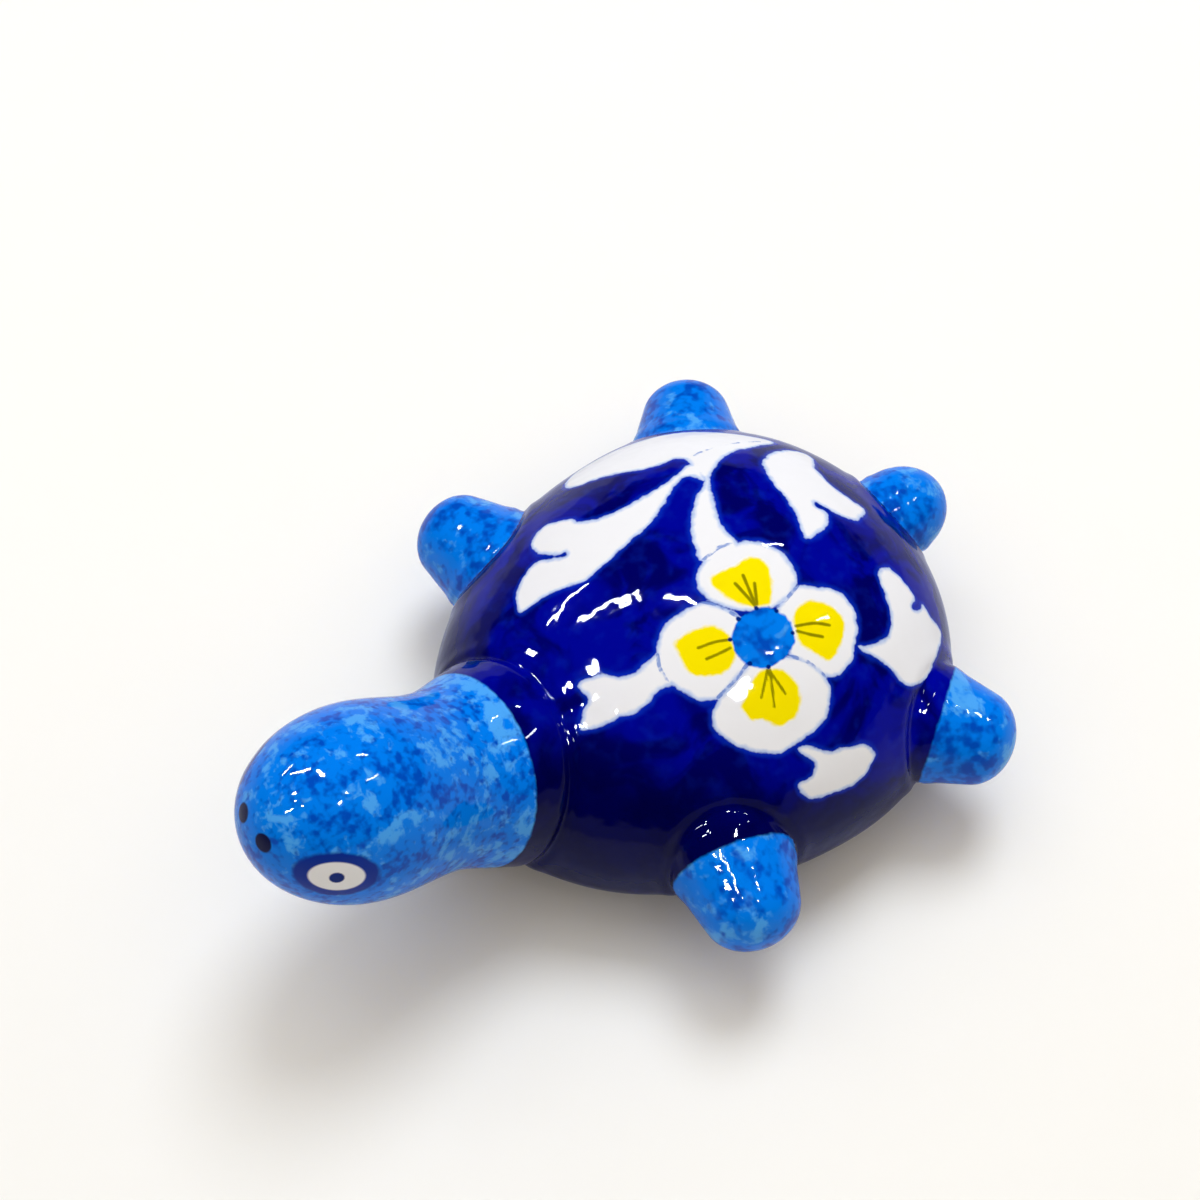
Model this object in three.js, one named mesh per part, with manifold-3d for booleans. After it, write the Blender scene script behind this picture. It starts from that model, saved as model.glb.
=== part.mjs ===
// Tortoise paperweight in glazed pottery: a hollow shell pressed in two halves, with a head, four stub
// feet and a tail that are luted onto the outside of it.
// Millimetres, +Z up. The head points to -Y, the animal's left side is +X, and the origin is the middle
// of the flat base, under the widest part of the shell.
import * as THREE from 'three';
import { mergeVertices } from 'three/addons/utils/BufferGeometryUtils.js';
import Module from 'manifold-3d';

const wasm = await Module();
wasm.setup();

// Shell: egg-shaped in plan, a tall dome above its widest line and a shallow belly below it
const SHELL_HALF_WIDTH = 36.5;
const SHELL_FRONT_REACH = 47.5;
const SHELL_REAR_REACH = 34.5;
const RIM_HEIGHT = 14;
const DOME_RISE = 27.5;
const BASE_HALF_WIDTH = 20.7;
const SHELL_WALL = 7;
const BASE_THICKNESS = 6;

// The belly is the part of a half ellipse that the flat base leaves, so its full depth follows from the base
const BELLY_TUCK = Math.acos(BASE_HALF_WIDTH / SHELL_HALF_WIDTH);
const BELLY_DEPTH = RIM_HEIGHT / Math.sin(BELLY_TUCK);

// Firing vent in the base, which lets steam out of the closed shell
const VENT_DIAMETER = 6;
const VENT_SETBACK = 11;

// Slip joint between each luted piece and the skin of the shell. A stub is first modelled with a root deep
// inside the shell, and its root is then cut away to the skin.
const SLIP_GAP = 0.3;
const STUB_ROOT_DEPTH = SHELL_HALF_WIDTH / 2;

// Feet: stubs that taper to a rounded toe. A taper is how much the radius shrinks over a length.
const FOOT_HEIGHT = 17.7;
const FOOT_RADIUS = 7.15;
const FOOT_TAPER = 0.27;
const FOOT_TOE_LENGTH = 5.8;

// Each pair of feet: its place round the shell, the way it points and how far it stands out of the shell.
// Angles are in degrees from straight out to the side, and a positive one is towards the tail.
const FRONT_FEET = { bearing: -34.2, heading: -16.5, reach: 11.6 };
const REAR_FEET = { bearing: 28.3, heading: 34.4, reach: 10.9 };

// Tail: a stub like a foot, shorter, a little higher and hardly tapered
const TAIL_HEIGHT = 21;
const TAIL_RADIUS = 7.1;
const TAIL_TAPER = 0.02;
const TAIL_TOE_LENGTH = 8.4;
const TAIL_REACH = 9;

// Head and neck: one roll whose axis leaves the front of the shell nearly level and bends up to the snout.
// Insets are backward and the reach is forward from the front of the shell, and lengths run along the axis.
const NECK_ROOT_INSET = 14.3;
const NECK_ROOT_HEIGHT = 18.6;
const NECK_BEND_INSET = 0.6;
const NECK_BEND_HEIGHT = 22.4;
const SNOUT_REACH = 28.9;
const SNOUT_HEIGHT = 45.9;
const COLLAR_RADIUS = 15;
const COLLAR_LENGTH = 8.3;
const NECK_RADIUS = 12.7;
const NECK_LENGTH = 12.5;
const HEAD_RADIUS = 13.6;
const NAPE_LENGTH = 12.1;

// Facets
const SHELL_SEGMENTS = 64;
const DOME_STEPS = 16;
const BELLY_STEPS = 8;
const CAVITY_SEGMENTS = 32;
const CAVITY_STEPS = 8;
const VENT_SEGMENTS = 24;
const STUB_SEGMENTS = 28;
const NECK_SEGMENTS = 36;
const EASE_STEPS = 5;
const TOE_STEPS = 7;

// Glazes
const COBALT = { color: '#0a1890', roughness: 0.12, metalness: 0 };
const AZURE = { color: '#1272d2', roughness: 0.12, metalness: 0 };

const LATHE_AXIS = new THREE.Vector3(0, 1, 0);
const SIDEWAYS = new THREE.Vector3(1, 0, 0);
const BACKWARDS = new THREE.Vector3(0, 1, 0);

// A closed solid from a geometry: shared corners merged, and the lathe's empty pole triangles left out
function toSolid(geometry) {
  geometry.deleteAttribute('normal');
  geometry.deleteAttribute('uv');
  const merged = mergeVertices(geometry);
  const corners = merged.index.array;
  const triangles = [];
  for (let i = 0; i < corners.length; i += 3) {
    const [a, b, c] = corners.slice(i, i + 3);
    if (a !== b && b !== c && c !== a) triangles.push(a, b, c);
  }
  return new wasm.Manifold(new wasm.Mesh({
    numProp: 3,
    vertProperties: merged.attributes.position.array,
    triVerts: new Uint32Array(triangles),
  }));
}

// A named mesh from a solid
function toMesh(name, solid, glaze) {
  const { vertProperties, triVerts } = solid.getMesh();
  const geometry = new THREE.BufferGeometry();
  geometry.setAttribute('position', new THREE.BufferAttribute(vertProperties, 3));
  geometry.setIndex(new THREE.BufferAttribute(triVerts, 1));
  geometry.computeVertexNormals();
  const mesh = new THREE.Mesh(geometry, new THREE.MeshStandardMaterial(glaze));
  mesh.name = name;
  return mesh;
}

// Points of an elliptical arc in the lathe's plane, between two angles above the widest line
function arc(radius, height, level, from, to, steps) {
  const points = [];
  for (let i = 0; i <= steps; i += 1) {
    const angle = from + ((to - from) * i) / steps;
    points.push(new THREE.Vector2(radius * Math.cos(angle), level + height * Math.sin(angle)));
  }
  points.at(-1).x = Math.abs(to) === Math.PI / 2 ? 0 : points.at(-1).x;
  return points;
}

// A profile turned about Z and then drawn out to the shell's egg-shaped plan, inset from the skin
function eggTurned(profile, inset, segments) {
  const geometry = new THREE.LatheGeometry(profile, segments);
  geometry.rotateX(Math.PI / 2);
  const position = geometry.attributes.position;
  const front = (SHELL_FRONT_REACH - inset) / (SHELL_HALF_WIDTH - inset);
  const rear = (SHELL_REAR_REACH - inset) / (SHELL_HALF_WIDTH - inset);
  for (let i = 0; i < position.count; i += 1) {
    const y = position.getY(i);
    position.setY(i, y * (y < 0 ? front : rear));
  }
  return toSolid(geometry);
}

// The full form of the shell from its flat base to its crown, grown outwards by the given amount
function shellForm(grow) {
  const radius = SHELL_HALF_WIDTH + grow;
  const belly = BELLY_DEPTH + grow;
  const base = -grow;
  const tuck = -Math.asin((RIM_HEIGHT - base) / belly);
  const profile = [
    new THREE.Vector2(0, base),
    ...arc(radius, belly, RIM_HEIGHT, tuck, 0, BELLY_STEPS),
    ...arc(radius, DOME_RISE + grow, RIM_HEIGHT, 0, Math.PI / 2, DOME_STEPS).slice(1),
  ];
  return eggTurned(profile, -grow, SHELL_SEGMENTS);
}

// The hollow inside the shell, a wall in from the skin and flat over the base
function cavityForm() {
  const radius = SHELL_HALF_WIDTH - SHELL_WALL;
  const belly = BELLY_DEPTH - SHELL_WALL;
  const tuck = -Math.asin((RIM_HEIGHT - BASE_THICKNESS) / belly);
  const profile = [
    new THREE.Vector2(0, BASE_THICKNESS),
    ...arc(radius, belly, RIM_HEIGHT, tuck, 0, CAVITY_STEPS / 2),
    ...arc(radius, DOME_RISE - SHELL_WALL, RIM_HEIGHT, 0, Math.PI / 2, CAVITY_STEPS).slice(1),
  ];
  return eggTurned(profile, SHELL_WALL, CAVITY_SEGMENTS);
}

// The block of space above or below the line where the two halves are joined
function halfSpace(side) {
  const span = 2 * (SHELL_FRONT_REACH + SHELL_REAR_REACH);
  const block = new THREE.BoxGeometry(span, span, span);
  block.translate(0, 0, RIM_HEIGHT + (side * span) / 2);
  return toSolid(block);
}

// The firing vent, a straight hole through the base behind its middle
function ventForm() {
  const radius = VENT_DIAMETER / 2;
  const vent = new THREE.CylinderGeometry(radius, radius, 2 * RIM_HEIGHT, VENT_SEGMENTS);
  vent.rotateX(Math.PI / 2);
  vent.translate(0, VENT_SETBACK, 0);
  return toSolid(vent);
}

// The point of the shell's skin at a height, in the direction of an angle about Z from +X
function skinPoint(angle, height) {
  const drop = height - RIM_HEIGHT;
  const level = drop / (drop > 0 ? DOME_RISE : BELLY_DEPTH);
  const reach = Math.sin(angle) < 0 ? SHELL_FRONT_REACH : SHELL_REAR_REACH;
  const across = Math.hypot(Math.cos(angle) / SHELL_HALF_WIDTH, Math.sin(angle) / reach);
  const out = Math.sqrt(1 - level * level) / across;
  return new THREE.Vector3(out * Math.cos(angle), out * Math.sin(angle), height);
}

// Points of a smooth swell from one radius to another along the axis, level at both ends
function swell(fromRadius, toRadius, start, length) {
  const points = [];
  for (let i = 0; i <= EASE_STEPS; i += 1) {
    const share = i / EASE_STEPS;
    const ease = (1 - Math.cos(Math.PI * share)) / 2;
    points.push(new THREE.Vector2(fromRadius + (toRadius - fromRadius) * ease, start + length * share));
  }
  return points;
}

// A stub's profile from inside the shell to its toe: a straight taper that runs smoothly into a rounded end
function stubProfile(radius, taper, toeLength, reach) {
  const lean = Math.atan((taper * toeLength) / radius);
  const toe = arc(radius, toeLength, reach - toeLength, lean, Math.PI / 2, TOE_STEPS);
  const rootRadius = toe[0].x + taper * (toe[0].y + STUB_ROOT_DEPTH);
  return [
    new THREE.Vector2(0, -STUB_ROOT_DEPTH),
    new THREE.Vector2(rootRadius, -STUB_ROOT_DEPTH),
    ...toe,
  ];
}

// A profile turned about a straight axis that leaves a point of the skin in a direction
function turnedStraight(profile, place, direction) {
  const geometry = new THREE.LatheGeometry(profile, STUB_SEGMENTS);
  geometry.applyQuaternion(new THREE.Quaternion().setFromUnitVectors(LATHE_AXIS, direction));
  geometry.translate(place.x, place.y, place.z);
  return geometry;
}

// A profile turned about a straight axis and then bent along a curve in the shell's middle plane
function turnedBent(profile, curve) {
  const geometry = new THREE.LatheGeometry(profile, NECK_SEGMENTS);
  const length = curve.getLength();
  const position = geometry.attributes.position;
  for (let i = 0; i < position.count; i += 1) {
    const along = THREE.MathUtils.clamp(position.getY(i) / length, 0, 1);
    const centre = curve.getPointAt(along);
    const tangent = curve.getTangentAt(along);
    const across = SIDEWAYS.clone().cross(tangent);
    centre.addScaledVector(SIDEWAYS, position.getX(i)).addScaledVector(across, position.getZ(i));
    position.setXYZ(i, centre.x, centre.y, centre.z);
  }
  return geometry;
}

// A luted piece: its root is cut to the skin of the shell, a slip joint away
function luted(geometry) {
  return toSolid(geometry).subtract(shellForm(SLIP_GAP));
}

// The two halves of the shell
function makeShell() {
  const hollow = shellForm(0).subtract(cavityForm());
  const shell = new THREE.Group();
  shell.add(toMesh('carapace', hollow.intersect(halfSpace(1)), COBALT));
  shell.add(toMesh('plastron', hollow.intersect(halfSpace(-1)).subtract(ventForm()), COBALT));
  return shell;
}

// One pair of feet, mirrored across the middle of the shell
function makeFeet(pair, { bearing, heading, reach }) {
  const feet = new THREE.Group();
  for (const [hand, side] of [['left', 1], ['right', -1]]) {
    const place = skinPoint(THREE.MathUtils.degToRad(bearing), FOOT_HEIGHT);
    place.x *= side;
    const turn = THREE.MathUtils.degToRad(heading);
    const direction = new THREE.Vector3(side * Math.cos(turn), Math.sin(turn), 0);
    const profile = stubProfile(FOOT_RADIUS, FOOT_TAPER, FOOT_TOE_LENGTH, reach);
    feet.add(toMesh(`${pair}_${hand}_foot`, luted(turnedStraight(profile, place, direction)), AZURE));
  }
  return feet;
}

// The tail
function makeTail() {
  const place = skinPoint(Math.PI / 2, TAIL_HEIGHT);
  const profile = stubProfile(TAIL_RADIUS, TAIL_TAPER, TAIL_TOE_LENGTH, TAIL_REACH);
  return toMesh('tail', luted(turnedStraight(profile, place, BACKWARDS)), AZURE);
}

// The head and neck: collar, waist, nape and a muzzle that takes the rest of the axis to a blunt snout
function makeHead() {
  const axis = new THREE.QuadraticBezierCurve3(
    new THREE.Vector3(0, NECK_ROOT_INSET - SHELL_FRONT_REACH, NECK_ROOT_HEIGHT),
    new THREE.Vector3(0, NECK_BEND_INSET - SHELL_FRONT_REACH, NECK_BEND_HEIGHT),
    new THREE.Vector3(0, -SNOUT_REACH - SHELL_FRONT_REACH, SNOUT_HEIGHT),
  );
  const waist = COLLAR_LENGTH + NECK_LENGTH;
  const crown = waist + NAPE_LENGTH;
  const profile = [
    new THREE.Vector2(0, 0),
    ...swell(COLLAR_RADIUS, COLLAR_RADIUS, 0, COLLAR_LENGTH),
    ...swell(COLLAR_RADIUS, NECK_RADIUS, COLLAR_LENGTH, NECK_LENGTH).slice(1),
    ...swell(NECK_RADIUS, HEAD_RADIUS, waist, NAPE_LENGTH).slice(1),
    ...arc(HEAD_RADIUS, axis.getLength() - crown, crown, 0, Math.PI / 2, 2 * TOE_STEPS).slice(1),
  ];
  return toMesh('head_and_neck', luted(turnedBent(profile, axis)), AZURE);
}

const tortoise = new THREE.Group();
tortoise.name = 'tortoise_paperweight';
tortoise.add(makeShell(), makeHead(), makeTail());
tortoise.add(makeFeet('front', FRONT_FEET), makeFeet('rear', REAR_FEET));

export default tortoise;
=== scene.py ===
"""Glazed pottery tortoise paperweight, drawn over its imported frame.

Metres, +Z up. The head points to -Y, the animal's left side is +X, and the flat base stands on z = 0.
"""
import math

import bmesh
import bpy
import numpy as np
from mathutils import Matrix, Vector


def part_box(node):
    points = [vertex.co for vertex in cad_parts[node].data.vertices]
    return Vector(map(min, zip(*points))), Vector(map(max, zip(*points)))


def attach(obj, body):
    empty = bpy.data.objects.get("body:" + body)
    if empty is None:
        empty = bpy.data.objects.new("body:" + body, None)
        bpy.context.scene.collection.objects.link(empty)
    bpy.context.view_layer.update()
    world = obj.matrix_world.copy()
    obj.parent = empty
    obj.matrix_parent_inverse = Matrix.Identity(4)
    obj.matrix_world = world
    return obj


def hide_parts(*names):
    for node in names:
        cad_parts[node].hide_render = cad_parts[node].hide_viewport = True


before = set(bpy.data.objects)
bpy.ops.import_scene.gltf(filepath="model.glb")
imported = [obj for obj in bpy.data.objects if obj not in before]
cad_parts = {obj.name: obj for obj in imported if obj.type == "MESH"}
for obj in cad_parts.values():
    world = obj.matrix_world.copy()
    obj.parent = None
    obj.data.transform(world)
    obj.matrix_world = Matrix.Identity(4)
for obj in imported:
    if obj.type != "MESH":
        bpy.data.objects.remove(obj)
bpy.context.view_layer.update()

carapace_low, carapace_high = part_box("carapace")

bl_info = {
    "name": "Tortoise Paperweight",
    "version": (1, 0, 0),
    "blender": (4, 5, 0),
    "location": "View3D > Sidebar > Tortoise",
    "description": "Builds a glazed pottery tortoise over its frame",
    "category": "Add Mesh",
}

MM = 0.001

# Rows and columns of the smooth skins
SHELL_COLUMNS = 480
PAINTED_REACH = 34 * MM
PAINTED_ROW = 0.26 * MM
PLAIN_ROW = 0.55 * MM
INNER_ROWS = 12
ROLL_ROW = 0.4 * MM
HEAD_COLUMNS = 220
STUB_COLUMNS = 120
TOE_ROWS = 30
PATH_STEPS = 96
MERGE_REACH = 0.0001 * MM

# Measuring: what keeps a division from failing, the step that feels for a slope, the rounds that look for the
# nearest point of a bent axis, and the straight steps between two points of a painted line
TINY = 1e-9
PROBE = 0.01 * MM
NEAREST_ROUNDS = 4
LINE_STEPS = 6

# Luting the pieces together: rounds of settling, how much of the way each goes, how near the egg a point
# counts as its outer skin, and the share of the wall that the skin may tuck under a root
LUTE_ROUNDS = 16
LUTE_PACE = 0.7
SEAT_ROUNDS = 12
SKIN_REACH = 0.02 * MM
TUCK_SHARE = 0.7

# The belly starts just above the base, and faces below the base level are left bare. On the left feet the
# azure starts a little inside the skin.
BELLY_START = 0.1 * MM
BASE_LEVEL = 0.05 * MM
PAINT_OVERLAP = 0.7 * MM

# The clear glaze, as weakly mirroring as the photograph shows it, the height of its waves, and the painted
# shade that darkens the cobalt towards the lower front: the way up out of that shade, and its two ends along
# that way
CLEAR_GLAZE = {"Roughness": 0.03, "IOR": 1.26}
WAVE_HEIGHT = 0.1 * MM
SHADE_WAY = (-0.2, 0.45, 1)
SHADE_TOP = 22 * MM
SHADE_BOTTOM = 11 * MM

# Underglaze painting. Places are millimetres along the skin from the crown, to the animal's left and rear.
LEAVES = {
    "upper": [(-31.5, -9.8), (-36, -9.5), (-40, -5), (-38.5, 2), (-34.5, 9), (-29.5, 15), (-24.5, 20.5),
              (-18.6, 24.5), (-17.1, 18.6), (-17.1, 14.5), (-16.1, 10.8), (-14.3, 7.5), (-14.6, 5.4),
              (-16.5, 4.9), (-18.6, 6.3), (-20.9, 5.4), (-21.4, 2.6), (-23.0, -0.2), (-27.9, -5.4)],
    "forked": [(-13.0, 5.0), (-16.1, 6.9), (-18.0, 5.7), (-17.2, 3.0), (-16.6, -1.5), (-17.3, -8.7),
               (-19.6, -13.1), (-22.4, -14.5), (-25.8, -17.8), (-25.5, -21.3), (-21.7, -22.5), (-17.9, -20.3),
               (-16.9, -18.8), (-16.2, -19.6), (-19.0, -22.6), (-19.6, -24.7), (-18.1, -28.2), (-16.2, -30.0),
               (-13.4, -30.5), (-12.6, -26.7), (-11.7, -23.7), (-9.7, -19.4), (-9.9, -15.5), (-10.6, -10.3),
               (-11.4, -5.7), (-13.0, -2.4), (-15.5, 1.9), (-15.4, 4.1)],
    "stem": [(-15.1, 5.2), (-13.4, 5.3), (-12.3, 4.4), (-10.3, 1.3), (-6.7, -2.1), (-4.5, -3.4), (-0.6, -4.5),
             (1.7, -0.7), (0.2, 1.4), (-3.5, 1.4), (-7.0, 2.6), (-10.9, 4.7), (-13.3, 6.3), (-15.0, 8.4),
             (-16.7, 8.0)],
    "lobed": [(-12.1, 15.8), (-13.5, 17.7), (-14.5, 21.1), (-14.7, 25.1), (-13.8, 27.6), (-11.8, 27.6),
              (-8.9, 24.9), (-6.8, 24.0), (-2.8, 23.9), (1.1, 25.8), (2.5, 26.5), (3.8, 23.9), (4.0, 21.7),
              (2.4, 19.5), (-0.5, 17.7), (-1.0, 17.0), (0.0, 16.7), (1.4, 17.4), (3.1, 16.3), (3.9, 14.5),
              (4.1, 10.6), (0.6, 12.1), (-3.8, 13.3), (-7.6, 13.8)],
    "right": [(13.7, 18.5), (13.4, 21.4), (15.0, 22.6), (17.6, 23.8), (20.0, 23.9), (20.7, 22.3),
              (21.5, 22.2), (21.9, 24.1), (21.5, 25.6), (24.4, 26.9), (27.2, 29.2), (28.7, 28.0),
              (31.0, 23.0), (32.9, 18.9), (32.7, 15.1), (31.3, 12.9), (27.6, 11.3), (24.1, 8.8),
              (21.9, 7.6), (22.8, 9.6), (23.1, 13.7), (20.3, 16.4), (16.5, 17.6)],
    "bar": [(3.2, -30.8), (3.1, -29.1), (4.1, -26.5), (6.1, -24.6), (7.0, -21.9), (6.8, -17.7), (10.6, -17.1),
            (11.7, -19.3), (11.2, -21.2), (11.9, -24.4), (11.7, -26.5), (10.9, -29.0), (10.3, -31.5),
            (8.8, -34.9), (6.8, -32.6), (5.5, -30.5)],
    "small": [(30.6, -9.4), (30.8, -7.8), (33.9, -4.9), (34.8, -2.3), (36.7, 1.6), (39.0, 2.6), (40.3, 1.9),
              (42.1, -0.9), (42.2, -4.1), (41.3, -7.7), (40.2, -10.9), (38.7, -12.3), (36.5, -12.4),
              (35.7, -11.9), (35.9, -9.5), (34.9, -8.4), (33.5, -8.3)],
}
PETALS = {
    "up": [(-0.9, -4.3), (-1.0, -0.9), (0.0, 2.4), (1.7, 4.7), (4.5, 5.8), (7.6, 5.7), (9.6, 4.4),
           (10.7, 1.4), (10.3, -1.8), (8.7, -4.7), (5.8, -6.7), (3.4, -7.6), (1.2, -7.1)],
    "right": [(9.8, 4.5), (11.2, 6.9), (13.0, 9.2), (15.5, 10.3), (18.4, 9.8), (21.3, 7.6), (23.4, 5.1),
              (23.9, 1.1), (21.0, -0.9), (18.1, -2.4), (14.7, -3.2), (11.4, -0.7), (10.2, 1.8)],
    "down": [(23.7, 0.4), (26.3, -0.6), (28.7, -2.9), (29.6, -6.7), (29.6, -11.4), (28.1, -14.2),
             (24.3, -17.2), (21.4, -18.3), (19.3, -17.7), (17.4, -15.6), (16.3, -11.5), (15.5, -7.9),
             (17.3, -3.3), (20.1, -0.6)],
    "left": [(17.1, -15.3), (15.9, -17.5), (13.8, -18.4), (11.1, -19.6), (8.5, -19.2), (5.8, -17.5),
             (4.1, -15.3), (3.8, -12.2), (4.3, -8.7), (6.3, -6.7), (9.5, -5.3), (13.3, -6.7),
             (15.5, -8.7), (16.4, -11.6)],
}
POLLEN = {
    "up": [(2.7, -5.6), (1.9, -4.3), (2.5, -1.3), (2.3, 0.5), (3.6, 2.5), (5.7, 2.4), (7.9, 1.4), (9.6, -0.6),
           (9.3, -2.5), (7.6, -4.3), (4.9, -5.3)],
    "right": [(13.7, 0.9), (12.4, 2.7), (12.7, 4.8), (14.0, 6.5), (16.6, 7.6), (18.4, 7.1), (20.7, 4.7),
              (21.4, 2.1), (19.5, 0.7), (16.5, -0.2)],
    "down": [(17.7, -9.5), (17.4, -7.2), (18.6, -5.1), (20.9, -4.1), (23.7, -4.7), (25.7, -6.5), (25.9, -9.6),
             (24.1, -11.0), (22.4, -12.8), (20.0, -12.9), (18.9, -11.3)],
    "left": [(7.2, -15.4), (6.7, -13.6), (7.3, -11.0), (8.1, -9.4), (10.2, -8.4), (13.0, -9.0), (14.5, -11.3),
             (13.1, -15.1), (11.1, -16.2), (9.1, -15.9)],
}
FLOWER_EYE = [(9.8, -1.8), (12.6, 0.1), (15.9, -0.5), (17.6, -3.5), (17.1, -7.1), (14.3, -9.0), (11.0, -8.3),
              (9.3, -5.3)]
FINE_LINES = [
    [(4.0, -8.6), (6.1, -7.0), (9.3, -5.5)],
    [(9.7, 4.6), (10.7, 1.4), (10.8, -0.4)],
    [(17.6, -3.0), (19.9, -0.9), (23.9, 0.5)],
    [(15.4, -8.6), (16.3, -11.5), (17.0, -15.1)],
    [(-0.9, -4.3), (-1.3, -1.0), (-0.3, 1.3)],
    [(6.9, -18.3), (8.7, -19.2), (11.3, -19.6)],
    [(-19.3, 7.0), (-19.9, 10.3), (-19.8, 15.5), (-19.0, 21.4)],
]
STAMENS = [
    [(9.1, -2.6), (4.7, -2.9)],
    [(8.8, -2.5), (4.3, -1.2)],
    [(9.0, -2.3), (6.2, -0.6)],
    [(14.6, 0.6), (15.7, 3.3), (17.1, 5.2)],
    [(15.3, 0.3), (16.7, 1.7), (18.0, 3.2)],
    [(11.1, -8.6), (10.2, -10.5), (9.5, -13.0)],
    [(12.1, -9.3), (11.9, -10.9), (11.5, -13.0)],
    [(17.7, -6.7), (20.6, -9.8)],
    [(17.9, -6.4), (22.8, -8.9)],
    [(18.2, -6.5), (22.1, -6.4)],
]
SEEDS = [(9.4, -2.7), (11.3, -0.5), (9.3, -5.8), (15.2, -0.4), (11.1, -8.6), (15.5, -8.3), (17.4, -6.3)]

# Sizes of the brush strokes, and how far off an area or a stroke is still measured, in millimetres
FINE_LINE_HALF_WIDTH = 0.26
STAMEN_HALF_WIDTH = 0.25
SEED_RADIUS = 0.36
PAINT_MARGIN = 4.0
STROKE_MARGIN = 2.0

# Eyes and nostrils, painted alike on both sides of the head: a middle, a long way and sizes in millimetres
EYE_MIDDLE = (10.5, -70.95, 41.75)
EYE_LONG_WAY = (-5.4, -8.4, 3.3)
EYE_RING = (5.7, 4.0)
EYE_WHITE = (3.7, 2.6)
PUPIL = (1.0, 0.95)
NOSTRIL_MIDDLE = (2.55, -76.55, 45.15)
NOSTRIL = (1.3, 1.35)

# Lamps of the studio: the two ends of each lamp as directions from the tortoise, its width and its power.
# The wide ones light it without showing in the glaze, and the slim ones only draw its highlights.
LAMP_DISTANCE = 1.2
LAMP_COLOUR = "#e6f0ff"
WIDE_LAMPS = {
    "key": ((-0.44, 0.30, 0.87), (-0.06, 0.36, 0.93), 0.50, 6.4),
    "fill": ((-0.58, -0.05, 0.81), (0.02, 0.0, 0.99), 0.50, 1.8),
}
SLIM_LAMPS = {
    "right_tube": ((-0.594, -0.277, 0.755), (-0.49, -0.017, 0.87), 0.045, 14.1),
    "right_low_tube": ((-0.69, -0.35, 0.63), (-0.74, -0.12, 0.66), 0.03, 6.2),
    "overhead_tube": ((-0.38, 0.06, 0.92), (-0.22, 0.13, 0.965), 0.034, 11.0),
    "rear_tube": ((-0.32, 0.57, 0.76), (-0.26, 0.62, 0.74), 0.02, 2.0),
    "left_tube": ((0.43, 0.0, 0.90), (0.41, 0.07, 0.91), 0.055, 11.0),
    "left_high_spot": ((0.30, 0.24, 0.92), (0.30, 0.24, 0.92), 0.05, 1.2),
    "left_rear_tube": ((0.24, 0.52, 0.82), (0.20, 0.62, 0.76), 0.04, 1.6),
    "front_spot": ((-0.267, -0.41, 0.872), (-0.267, -0.41, 0.872), 0.09, 7.9),
    "front_middle_spot": ((-0.096, -0.494, 0.864), (-0.096, -0.494, 0.864), 0.055, 3.1),
    "front_left_spot": ((0.087, -0.449, 0.889), (0.087, -0.449, 0.889), 0.055, 3.1),
    "front_low_tube": ((-0.05, -0.71, 0.70), (0.02, -0.57, 0.82), 0.04, 5.3),
}

# The photograph's viewing angle: where the camera looks, its turn about Z, its height and its distance
CAMERA_TARGET = (-15.544 * MM, -11.687 * MM, 17.556 * MM)
CAMERA_AZIMUTH = math.radians(54.73)
CAMERA_ELEVATION = math.radians(59.10)
CAMERA_DISTANCE = 277.31 * MM
CAMERA_LENS = 54
SENSOR_WIDTH = 36

# The sheet of paper under the tortoise
FLOOR_HALF = 3.0
FLOOR_LEVEL = -0.05 * MM


def linear(hex_colour):
    """An sRGB hex colour as linear values."""
    shares = [int(hex_colour[i:i + 2], 16) / 255 for i in (1, 3, 5)]
    return tuple(s / 12.92 if s <= 0.04045 else ((s + 0.055) / 1.055) ** 2.4 for s in shares)


def length(name, description, default):
    """A size in metres for a user to change."""
    return bpy.props.FloatProperty(name=name, description=description, default=default, min=0, precision=4,
                                   unit="LENGTH", subtype="DISTANCE")


def turn(name, description, degrees):
    """An angle for a user to change."""
    return bpy.props.FloatProperty(name=name, description=description, default=math.radians(degrees),
                                   unit="ROTATION", subtype="ANGLE")


def ratio(name, description, default):
    """A plain ratio for a user to change."""
    return bpy.props.FloatProperty(name=name, description=description, default=default, min=0,
                                   subtype="FACTOR")


def colour(name, description, hex_colour):
    """A colour for a user to change."""
    return bpy.props.FloatVectorProperty(name=name, description=description, default=linear(hex_colour),
                                         min=0, max=1, size=3, subtype="COLOR")


class TortoiseShell(bpy.types.PropertyGroup):
    """Sizes of the hollow shell."""

    half_width: length("Half width", "From the middle of the shell to its side", carapace_high.x)
    front_reach: length("Front reach", "From the widest line to the front", -carapace_low.y)
    rear_reach: length("Rear reach", "From the widest line to the rear", carapace_high.y)
    rim_height: length("Rim height", "Height of the widest line, where the halves join", carapace_low.z)
    dome_rise: length("Dome rise", "From the rim to the crown", carapace_high.z - carapace_low.z)
    base_half_width: length("Base half width", "From the middle of the flat base to its side", 20.7 * MM)
    base_rounding: length("Base rounding", "How far the edge of the base is rounded", 1.2 * MM)
    wall: length("Wall", "Thickness of the pressed wall", 7 * MM)
    base_thickness: length("Base thickness", "Thickness of the base", 6 * MM)
    vent_diameter: length("Vent diameter", "Width of the firing vent in the base", 6 * MM)
    vent_setback: length("Vent setback", "How far the vent sits behind the middle", 11 * MM)
    unevenness: length("Unevenness", "How deep the hand-pressed skin dips", 0.25 * MM)


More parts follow.
